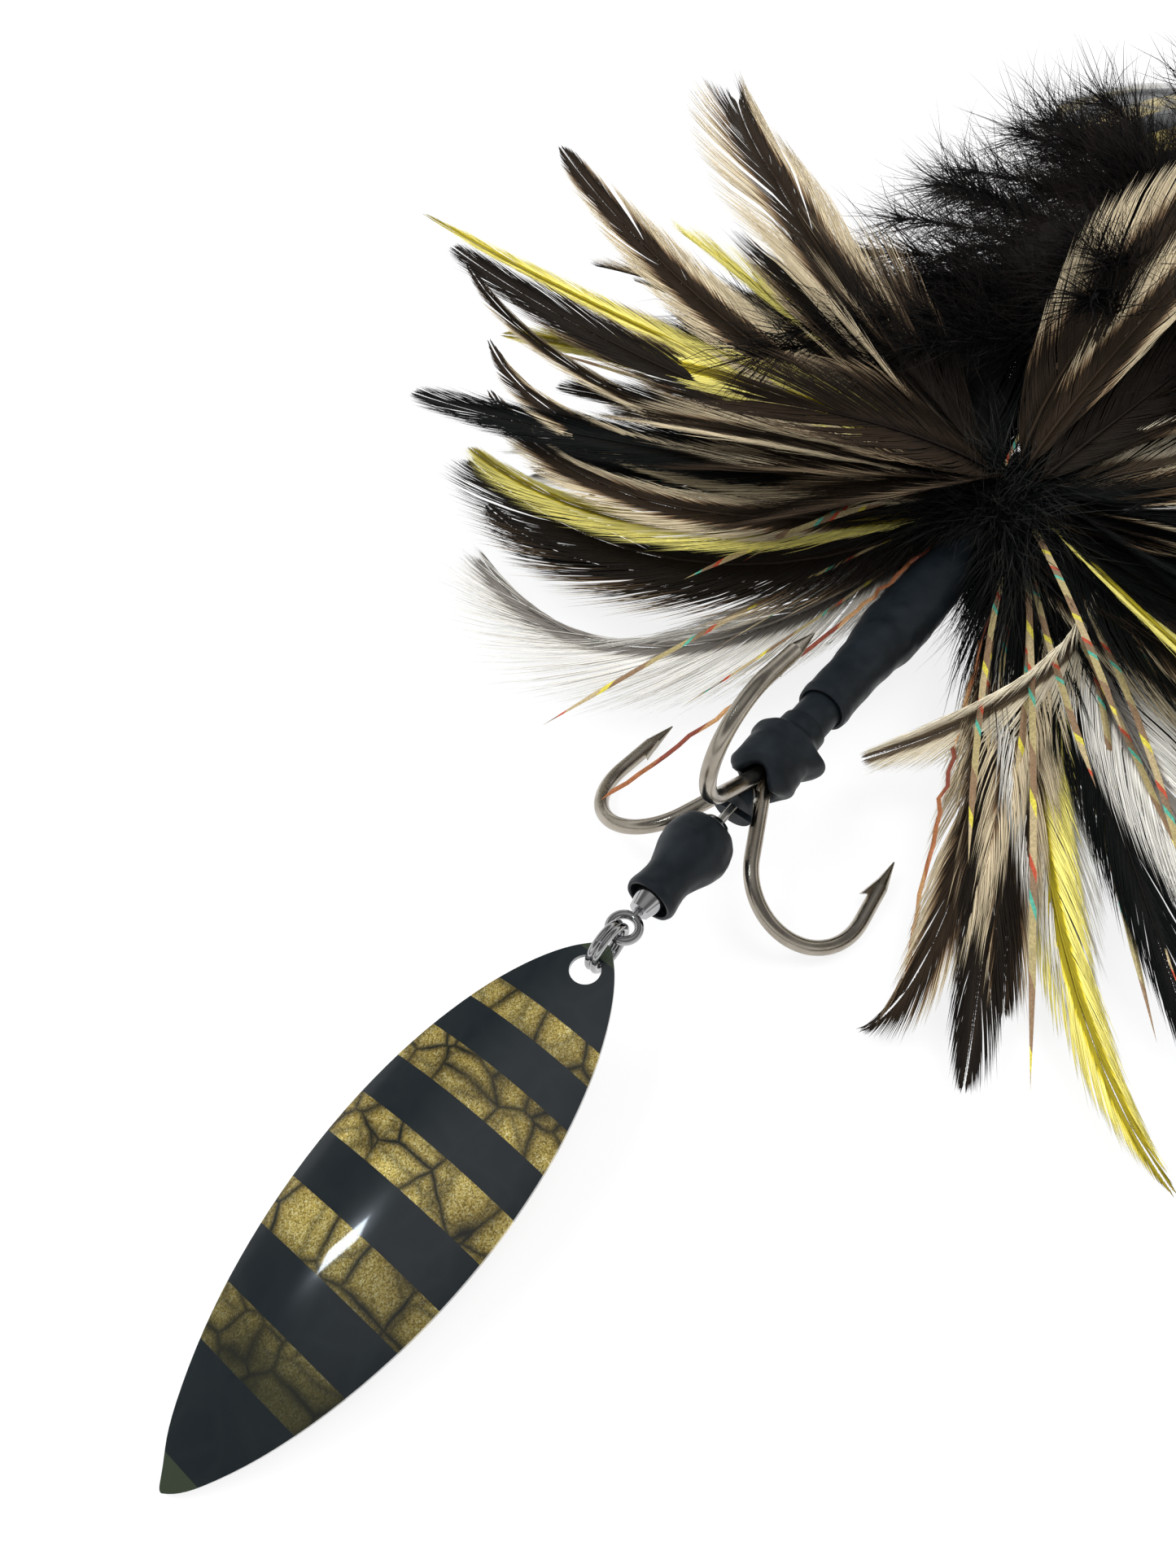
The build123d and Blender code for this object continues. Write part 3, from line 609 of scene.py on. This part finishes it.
def build_marabou():
    """Plumes tied on the front shaft: fine fibres all round each stem, over a dark inner mass."""
    rng = np.random.default_rng(23)
    groups = []
    for index in range(PLUMES):
        turn = 2 * math.pi * (index * GOLDEN_SHARE) + rng.normal(0, 0.15)
        across, up = math.cos(turn), math.sin(turn)
        foot = rng.uniform(118, 170)
        base = spot(foot, 4.4 * across, AXIS_Z / MM + 4.4 * up)
        reach = rng.uniform(30, 52) * (1.36 if across > 0 else 0.92)
        lean = rng.uniform(-0.55, 0.40) + 0.60 * (foot - 143) / 25
        rise = 27 if up > 0 else 11
        tip = spot(foot + lean * reach, across * reach, AXIS_Z / MM + up * rise * rng.uniform(0.6, 1.0))
        tip[2] = max(tip[2], 0.0015)
        chord = tip - base
        arch = np.array([0, 0, 0.006])
        control = [base, base + 0.35 * chord + arch, base + 0.7 * chord + arch, tip]
        n = PLUME_FIBRES
        share = 1 - rng.uniform(0.0, 0.9, n) ** 1.3
        origin = cubic(control, share)
        ahead = unit(cubic(control, np.minimum(share + 0.02, 1)) - cubic(control, share - 0.02))
        off = unit(np.cross(ahead, rng.normal(0, 1, (n, 3))))
        opening = np.radians(rng.uniform(8, 62, n))
        way = ahead * np.cos(opening)[:, None] + off * np.sin(opening)[:, None]
        length = rng.uniform(9, 26, n) * MM * (1.1 - 0.30 * share)
        curl = rng.normal(0, 0.30, (n, 3)) + ahead * 0.25
        points = [origin]
        for part in (0.25, 0.25, 0.25, 0.25):
            way = unit(way + curl * part * 1.6 + rng.normal(0, 0.07, (n, 3)))
            points.append(points[-1] + way * (length * part)[:, None])
        wide = np.full((n, 1), 0.00018) * np.array([1.0, 0.85, 0.65, 0.35])
        shades = np.tile([0.0, 0.25, 0.5, 0.75, 1.0], (n, 1))
        normals = unit(rng.normal(0, 1, (n, 3)))
        groups.append(strands(np.stack(points, 1), normals, wide, 0.6, shades, rng.random(n)))
    for number, cut in enumerate(np.array_split(np.arange(len(groups)), piece_count(groups))):
        vertices, faces, maps = joined([groups[i] for i in cut])
        name = f"marabou_fibres_{number + 1}"
        piece = mesh_piece(name, grounded(vertices), faces, MATERIALS["marabou"], "front_body", maps)
        MARABOU_PIECES.append(piece)
    piece = lump("marabou_inner", spot(147, 3, AXIS_Z / MM + 2), (30 * MM, 32 * MM, 11 * MM), 4.0 * MM, 90.0,
                 MATERIALS["marabou_core"], "front_body")
    MARABOU_PIECES.append(piece)


BODIES = frame["record"]["behaviour"]["bodies"]
SWIVEL_BODY = next(body for body, nodes in BODIES.items() if "swivel_tube" in nodes)


def lump(name, centre, radii, depth, scale, material, body):
    """A closed rounded form with an uneven skin."""
    made = bmesh.new()
    bmesh.ops.create_icosphere(made, subdivisions=5, radius=1.0)
    for vertex in made.verts:
        way = vertex.co.copy()
        place_at = Vector(centre) + Vector((way.x * radii[0], way.y * radii[1], way.z * radii[2]))
        push = noise.fractal(place_at * scale, 0.6, 2.0, 4) * depth
        vertex.co = place_at + way * push
        vertex.co.z = max(vertex.co.z, 0.0006)
    mesh = bpy.data.meshes.new(name)
    made.to_mesh(mesh)
    made.free()
    mesh.polygons.foreach_set("use_smooth", [True] * len(mesh.polygons))
    mesh.materials.append(material)
    piece = bpy.data.objects.new(name, mesh)
    bpy.context.scene.collection.objects.link(piece)
    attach(piece, body)
    return piece


def sleeve(name, profile, inside, body, material, node, shape, rings=110, around=72):
    """A closed tube along the lure that stands for a CAD node.

    profile holds (station, half width, half height); inside holds (station, radius); shape changes
    station and radius in mm by station, angle and radius.
    """
    stations = np.array([row[0] for row in profile], dtype=float)
    grid = np.linspace(stations[0], stations[-1], rings)
    soft = np.linspace(-0.5, 0.5, 9) * (stations[-1] - stations[0]) / len(stations) * 0.6
    halves = [np.mean([np.interp(grid + step, stations, [row[column] for row in profile]) for step in soft], axis=0)
              for column in (1, 2)]
    angle = 2 * math.pi * np.arange(around) / around
    vertices = []
    for ring in range(rings):
        for turn in angle:
            radius = math.hypot(halves[0][ring] * math.cos(turn), halves[1][ring] * math.sin(turn))
            along, out = shape(grid[ring], turn, radius)
            vertices.append(place(along, out * math.cos(turn), out * math.sin(turn)))
    bore = np.interp(grid, [row[0] for row in inside], [row[1] for row in inside])
    for ring in reversed(range(rings)):
        for turn in angle:
            along = shape(grid[ring], turn, bore[ring])[0]
            vertices.append(place(along, bore[ring] * math.cos(turn), bore[ring] * math.sin(turn)))
    total = 2 * rings
    a = np.arange(total * around).reshape(total, around)
    b, d = np.roll(a, -1, axis=1), np.roll(a, -1, axis=0)
    c = np.roll(d, -1, axis=1)
    faces = np.stack([a, b, c, d], axis=-1).reshape(-1, 4)
    piece = mesh_piece(name, np.array(vertices), faces, material, body)
    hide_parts(node)


def ripple(along, turn, scale, seed):
    """Smooth noise over a sleeve's skin, from -1 to 1."""
    return noise.noise(Vector((along * scale, math.cos(turn) * 2.2 + seed, math.sin(turn) * 2.2)))


SHANK_R = 2.55  # the bore that clears the treble's three wires, in mm
TUBE_WALL = 0.55
BORE_GAP = 0.05  # between a sleeve's bore and the CAD tube in it


def build_sleeves():
    """Rubber collar, shrunk tubes and thread wraps, in place of their plain CAD solids."""
    def collar(along, turn, radius):
        between = 0.5 - 0.5 * math.cos(3 * (turn - math.pi / 2))  # 0 on a hook's leg, 1 between two
        back = max(0.0, 1 - (along - 0.9) / 5.0)
        corner = max(0.0, math.cos(turn - math.radians(200))) ** 6
        lobe = max(0.0, math.cos(turn - math.radians(80))) ** 3
        lip = math.exp(-((along - 7.2) / 1.0) ** 2)
        out = radius + 1.0 * corner * lip + 0.5 * lobe * math.exp(-((along - 4.0) / 2.6) ** 2)
        fade = min(1.0, max(0.0, (radius - 3.8) / 0.8))
        out += fade * (0.30 * ripple(along, turn, 0.30, 3.0) + 0.10 * ripple(along, turn, 0.9, 7.0))
        return along - 1.7 * between * back + 1.2 * corner * lip, out

    def swivel_skin(along, turn, radius):
        return along, radius + 0.16 * ripple(along, turn, 0.22, 9.0)

    def wound(pitch, depth):
        def shape(along, turn, radius):
            groove = abs(math.sin(math.pi * (along / pitch + turn / (2 * math.pi))))
            return along, radius - depth + depth * groove ** 0.6 + 0.05 * ripple(along, turn, 1.4, 2.0)
        return shape

    def even(rows):
        return [(along, out, out) for along, out in rows]

    tube_inner = (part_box("shank_tube_inner")[1][2] - AXIS_Z) / MM + BORE_GAP
    sleeve("crotch_sleeve", even([(0.3, 3.6), (0.6, 4.5), (1.6, 5.2), (4.0, 5.1), (5.4, 5.0), (6.5, 5.6), (7.4, 5.7),
                                  (8.1, 5.1), (8.8, 4.2), (9.6, 3.75), (12.0, 3.65)]),
           [(0.3, 3.1), (1.8, SHANK_R), (10.8, SHANK_R), (11.0, tube_inner), (12.0, tube_inner)],
           "rear_body", RUBBER, "crotch_collar", collar)
    end = station(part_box("shank_tube_outer")[1][0])
    start = station(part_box("shank_tube_outer")[0][0])
    outer = [(start, 3.75, 3.75), (start + 0.35, 4.25, 4.25), (start + 1.0, 4.3, 4.3), (start + 2.0, 4.05, 4.05),
             (start + 9, 4.0, 4.0), (start + 13, 4.3, 4.15), (start + 18, 5.0, 4.5), (start + 20.5, 5.25, 4.5),
             (start + 27, 5.2, 4.6), (start + 30, 4.9, 5.0), (start + 34, 4.8, 5.05), (start + 37, 4.5, 4.6),
             (start + 41, 4.1, 4.1), (end, 3.95, 3.95)]
    inner_wall = [(along, max(min(across, up) - TUBE_WALL, tube_inner)) for along, across, up in outer]

    def tube_skin(along, turn, radius):
        swell = math.exp(-((along - 36) / 9) ** 2)
        fold = 0.20 * swell * math.sin(along * 1.15 + 1.2 * math.cos(turn))
        fold *= max(0.0, ripple(along, turn, 0.12, 1.0) + 0.5)
        return along, radius + fold + 0.08 * ripple(along, turn, 0.25, 4.0)

    sleeve("shank_sleeve", outer, inner_wall, "rear_body", SHRINK, "shank_tube_outer", tube_skin,
           rings=200)
    barrel = (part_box("swivel_barrel")[1][2] - AXIS_Z) / MM
    swivel_rows = [(-26.2, 3.45), (-25.9, 3.75), (-25.2, 3.8), (-23.9, 3.55), (-22.6, 3.42), (-21.4, 3.5), (-19.6, 4.1),
                   (-17.8, 4.8), (-16.0, 5.15), (-14.4, 5.0), (-13.0, 4.6), (-12.2, 4.2), (-11.9, 3.7)]
    sleeve("swivel_sleeve", even(swivel_rows),
           [(-26.2, 3.1), (-25.0, barrel + 0.06), (-12.8, barrel + 0.06), (-11.9, barrel + 0.2)],
           SWIVEL_BODY, SHRINK, "swivel_tube", swivel_skin)
    for name, body in (("hackle_wrap", "rear_body"), ("marabou_wrap", "front_body")):
        low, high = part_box(name)
        back, front = station(low[0]), station(high[0])
        top, bore = (high[2] - AXIS_Z) / MM, 4.05
        rows = [(back, top - 0.9), (back + 1.2, top - 0.15), (back + 4, top),
                (front - 2.4, top - 0.1), (front, top - 0.75)]
        sleeve(f"{name}_thread", even(rows), [(back, bore), (front, bore)], body, THREAD, name,
               wound(0.42, 0.13), rings=170, around=48)


# tip of each strand of flash that stands clear of the feathers: station, left, height
NAMED_FLASH = [(-10, 33, 10), (17, 21, 12), (7, 19, 9), (-14, 18, 8), (134, 8, 34), (13, -35, 7), (-13, -53, 4),
               (4, -63, 4), (28, -45, 8), (28, -53, 8), (-9, -32, 3), (58, 92, 16), (12, -62, 6), (40, -70, 12)]


def build_flash():
    """Flat tinsel, most of it gold, with a crinkled copper strand here and there."""
    rng = np.random.default_rng(17)
    tips = list(NAMED_FLASH)
    for index in range(44):
        side = 1 if index % 3 == 0 else -1
        turn = math.radians(rng.uniform(60, 165))
        length = rng.uniform(45, 84)
        tips.append((HEAD + length * math.cos(turn), side * length * math.sin(turn), rng.uniform(3, 26)))
    groups = {"gold": [], "copper": []}
    for index, tip in enumerate(tips):
        half = (np.array([HEAD, 0, AXIS_Z / MM]) + np.array(tip)) / 2 + rng.uniform((-3, -3, 1), (3, 3, 6))
        control = quill_curve(spot(*half), spot(*tip), -4)
        crinkled = index % 7 == 3
        k = 40 if crinkled else 9
        line = cubic(control, np.linspace(0.04, 1, k))
        if crinkled:
            line[1:-1] += rng.normal(0, 0.00022, (k - 2, 3))
        normal = unit(rng.normal(0, 0.35, (1, 3)) + np.array([-0.3, 0, 1.0]))
        wide = np.full((1, k - 1), 0.00095 if not crinkled else 0.0007)
        shades = np.linspace(0, 1, k)[None]
        groups["copper" if crinkled else "gold"].append(strands(line[None], normal, wide, 0.10, shades, rng.random(1)))
    for kind, made in groups.items():
        vertices, faces, maps = joined(made)
        piece = mesh_piece(f"flash_{kind}", grounded(vertices), faces, MATERIALS[f"flash_{kind}"], "rear_body", maps,
                           smooth=False)


# ---------------------------------------------------------------- materials in use
# gold bands as shares of a blade's length, from the hole's end
TAIL_BANDS = [(0.155, 0.207), (0.279, 0.351), (0.428, 0.505), (0.588, 0.666), (0.754, 0.832)]
HEAD_BANDS = [(0.2, 0.32), (0.44, 0.56), (0.68, 0.80)]
HEAD_BLADE_LENGTH = 68 * MM
BLADE_HEADINGS = {"blade_front": 52.0, "blade_rear": -128.0}  # degrees, as in part.py


MATERIALS = {
    "badger": fibre_material("badger_hackle", (0.026, 0.017, 0.010), (0.22, 0.14, 0.075),
                             (0.72, 0.60, 0.40), (0.030, 0.019, 0.011)),
    "dark": fibre_material("dark_badger_hackle", (0.015, 0.011, 0.008), (0.10, 0.062, 0.034),
                           (0.62, 0.50, 0.32), (0.022, 0.014, 0.009)),
    "cream": fibre_material("cream_hackle", (0.13, 0.095, 0.06), (0.50, 0.41, 0.28),
                            (0.82, 0.73, 0.55), (0.10, 0.07, 0.045)),
    "black": fibre_material("black_hackle", (0.004, 0.005, 0.005), (0.006, 0.008, 0.008),
                            (0.030, 0.030, 0.026), (0.010, 0.009, 0.008)),
    "brown": fibre_material("brown_hackle", (0.030, 0.019, 0.011), (0.085, 0.055, 0.032),
                            (0.36, 0.27, 0.16), (0.012, 0.008, 0.006)),
    "yellow": fibre_material("yellow_hackle", (0.30, 0.24, 0.015), (0.78, 0.62, 0.035),
                             (0.90, 0.80, 0.22), (0.32, 0.25, 0.03)),
    "grey": fibre_material("grey_hackle", (0.22, 0.20, 0.175), (0.55, 0.51, 0.45),
                           (0.84, 0.81, 0.74), (0.10, 0.085, 0.07)),
    "marabou": fibre_material("marabou_black", (0.003, 0.003, 0.003), (0.004, 0.004, 0.004),
                              (0.016, 0.012, 0.010), (0.004, 0.004, 0.004), 0.75),
    "flash_gold": flash_material("flash_gold", [(0.0, (0.52, 0.42, 0.20)), (0.26, (0.33, 0.21, 0.12)),
                                                (0.50, (0.86, 0.74, 0.10)), (0.57, (0.60, 0.47, 0.26)),
                                                (0.80, (0.62, 0.10, 0.05)), (0.85, (0.30, 0.20, 0.12)),
                                                (0.95, (0.12, 0.52, 0.38))]),
    "flash_copper": flash_material("flash_copper", [(0.0, (0.45, 0.17, 0.07)), (0.4, (0.62, 0.34, 0.15)),
                                                    (0.7, (0.30, 0.08, 0.05))]),
    "marabou_core": black_plastic("marabou_core", (0.003, 0.003, 0.003), 0.9, 900.0, 1.0),
}
HACKLE_PIECES, MARABOU_PIECES = [], []
build_hackle()
build_fluff()
build_marabou()
build_flash()
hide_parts("hackle_collar")
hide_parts("marabou_collar")

HOOK = metal("hook_nickel", (0.30, 0.265, 0.215), (0.46, 0.415, 0.35), 0.22, 500.0, 0.04)
paint(HOOK, "treble_double", "treble_single", "crotch_pin")
STEEL = metal("drawn_steel", (0.45, 0.44, 0.42), (0.70, 0.69, 0.67), 0.22)
paint(STEEL, "rear_shaft", "front_shaft", "coupler_ring", "tail_link")
CHROME = metal("chrome", (0.34, 0.34, 0.345), (0.50, 0.50, 0.51), 0.10, 500.0, 0.05)
paint(CHROME, "swivel_barrel", "swivel_balls", "swivel_eye", "tail_ring", "clevis_front", "clevis_rear",
      "blade_ring_front", "blade_ring_rear")
SHRINK = black_plastic("shrink_tube", (0.0035, 0.0055, 0.0075), 0.46, 160.0, 0.18)
paint(SHRINK, "shank_tube_inner", "hackle_former", "marabou_former")
RUBBER = black_plastic("crotch_rubber", (0.0035, 0.0055, 0.0075), 0.50, 200.0, 0.25)
paint(RUBBER, "crotch_plug")
THREAD = black_plastic("tying_thread", (0.010, 0.009, 0.009), 0.45, 1800.0, 0.8)
build_sleeves()
BODY = metal("body_brass", (0.50, 0.34, 0.12), (0.68, 0.48, 0.20), 0.2)
paint(BODY, "body_weight")
BEAD = metal("bead_brass", (0.55, 0.38, 0.14), (0.72, 0.52, 0.22), 0.12)
paint(BEAD, "bead_front", "bead_middle_a", "bead_middle_b", "bead_rear")
low, high = (Vector(corner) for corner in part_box("tail_blade"))
paint(blade_material("tail_blade_finish", middle("tail_blade"), Vector((-1, 0, 0)), Vector((0, 1, 0)),
                     high.x - low.x, TAIL_BANDS), "tail_blade")
for name, heading in BLADE_HEADINGS.items():
    way = Vector((math.cos(math.radians(heading)), math.sin(math.radians(heading)), 0.0)).normalized()
    across = Vector((-way.y, way.x, 0))
    paint(blade_material(f"{name}_finish", middle(name), way, across, HEAD_BLADE_LENGTH, HEAD_BANDS), name)

# ---------------------------------------------------------------- stage, light and camera
scene = bpy.context.scene
scene.view_settings.view_transform = "Standard"


def build_stage():
    """A plain floor that the camera and the metals see as white paper, and that keeps the shadows."""
    mesh = bpy.data.meshes.new("floor")
    size = 40.0
    mesh.from_pydata([(-size, -size, 0), (size, -size, 0), (size, size, 0), (-size, size, 0)], [], [(0, 1, 2, 3)])
    floor = bpy.data.objects.new("floor", mesh)
    scene.collection.objects.link(floor)
    n = Nodes("paper_white", roughness=0.9, color=(0.86, 0.86, 0.86))
    glow = n.node("ShaderNodeEmission")
    glow.inputs["Strength"].default_value = 1.0
    path = n.node("ShaderNodeLightPath")
    seen = n.math("MAXIMUM", path.outputs["Is Camera Ray"], path.outputs["Is Glossy Ray"])
    seen = n.math("MAXIMUM", seen, path.outputs["Is Transmission Ray"])
    blend = n.node("ShaderNodeMixShader")
    n.link(n.math("MULTIPLY", seen, 0.84), blend.inputs[0])
    n.link(n.shader.outputs[0], blend.inputs[1])
    n.link(glow.outputs[0], blend.inputs[2])
    n.link(blend.outputs[0], n.tree.nodes["Material Output"].inputs["Surface"])
    mesh.materials.append(n.material)


def lamp(name, position, target, size, power, color=(1, 1, 1)):
    data = bpy.data.lights.new(name, "AREA")
    data.shape = "RECTANGLE"
    data.size, data.size_y = size
    data.energy = power
    data.color = color
    light = bpy.data.objects.new(name, data)
    light.location = position
    light.rotation_euler = (Vector(target) - Vector(position)).to_track_quat("-Z", "Y").to_euler()
    scene.collection.objects.link(light)
    return light


build_stage()
world = bpy.data.worlds.new("studio")
world.use_nodes = True
world.node_tree.nodes["Background"].inputs["Color"].default_value = (1.0, 1.0, 1.0, 1)
scene.world = world


def room_reflection(tree, plain):
    """An even sky that metals see as a studio: bright low panels, a dark ceiling band, a soft top light."""
    up = tree.nodes.new("ShaderNodeSeparateXYZ")
    tree.links.new(tree.nodes.new("ShaderNodeTexCoord").outputs["Generated"], up.inputs[0])
    ramp = tree.nodes.new("ShaderNodeValToRGB")
    stops = [(0.0, 0.45), (0.10, 0.18), (0.20, 0.85), (0.42, 0.95), (0.56, 0.22), (0.80, 0.16), (0.97, 0.45)]
    while len(ramp.color_ramp.elements) < len(stops):
        ramp.color_ramp.elements.new(0.5)
    for element, (position, value) in zip(ramp.color_ramp.elements, stops):
        element.position = position
        element.color = (value, value, value, 1)
    tree.links.new(up.outputs[2], ramp.inputs["Fac"])
    path = tree.nodes.new("ShaderNodeLightPath")
    mix = tree.nodes.new("ShaderNodeMix")
    mix.inputs[2].default_value = plain
    tree.links.new(path.outputs["Is Glossy Ray"], mix.inputs[0])
    tree.links.new(ramp.outputs["Color"], mix.inputs[3])
    tree.links.new(mix.outputs[0], tree.nodes["Background"].inputs["Strength"])


room_reflection(world.node_tree, 0.75)
lamp("window", (-0.35, 0.75, 0.9), (0.02, 0, 0), (0.5, 0.7), 12.0, (0.93, 0.96, 1.0)).visible_glossy = False
lamp("overhead", (0.25, -0.2, 1.2), (0, 0, 0), (0.6, 0.6), 8.0).visible_glossy = False
lamp("strip", (-0.42, 0.30, 0.75), (-0.08, 0, 0), (0.05, 0.10), 0.4, (0.80, 0.90, 1.0))

view = bpy.data.cameras.new("camera")
view.lens = 27.05
view.sensor_width = 36.0
view.clip_start = 0.01
camera = bpy.data.objects.new("camera", view)
camera.location = (CROTCH_X - 0.0940, -0.0446, 0.1519)
camera.rotation_euler = (math.radians(36.0), 0, math.radians(-50.9))
scene.collection.objects.link(camera)
scene.camera = camera

bpy.context.view_layer.update()
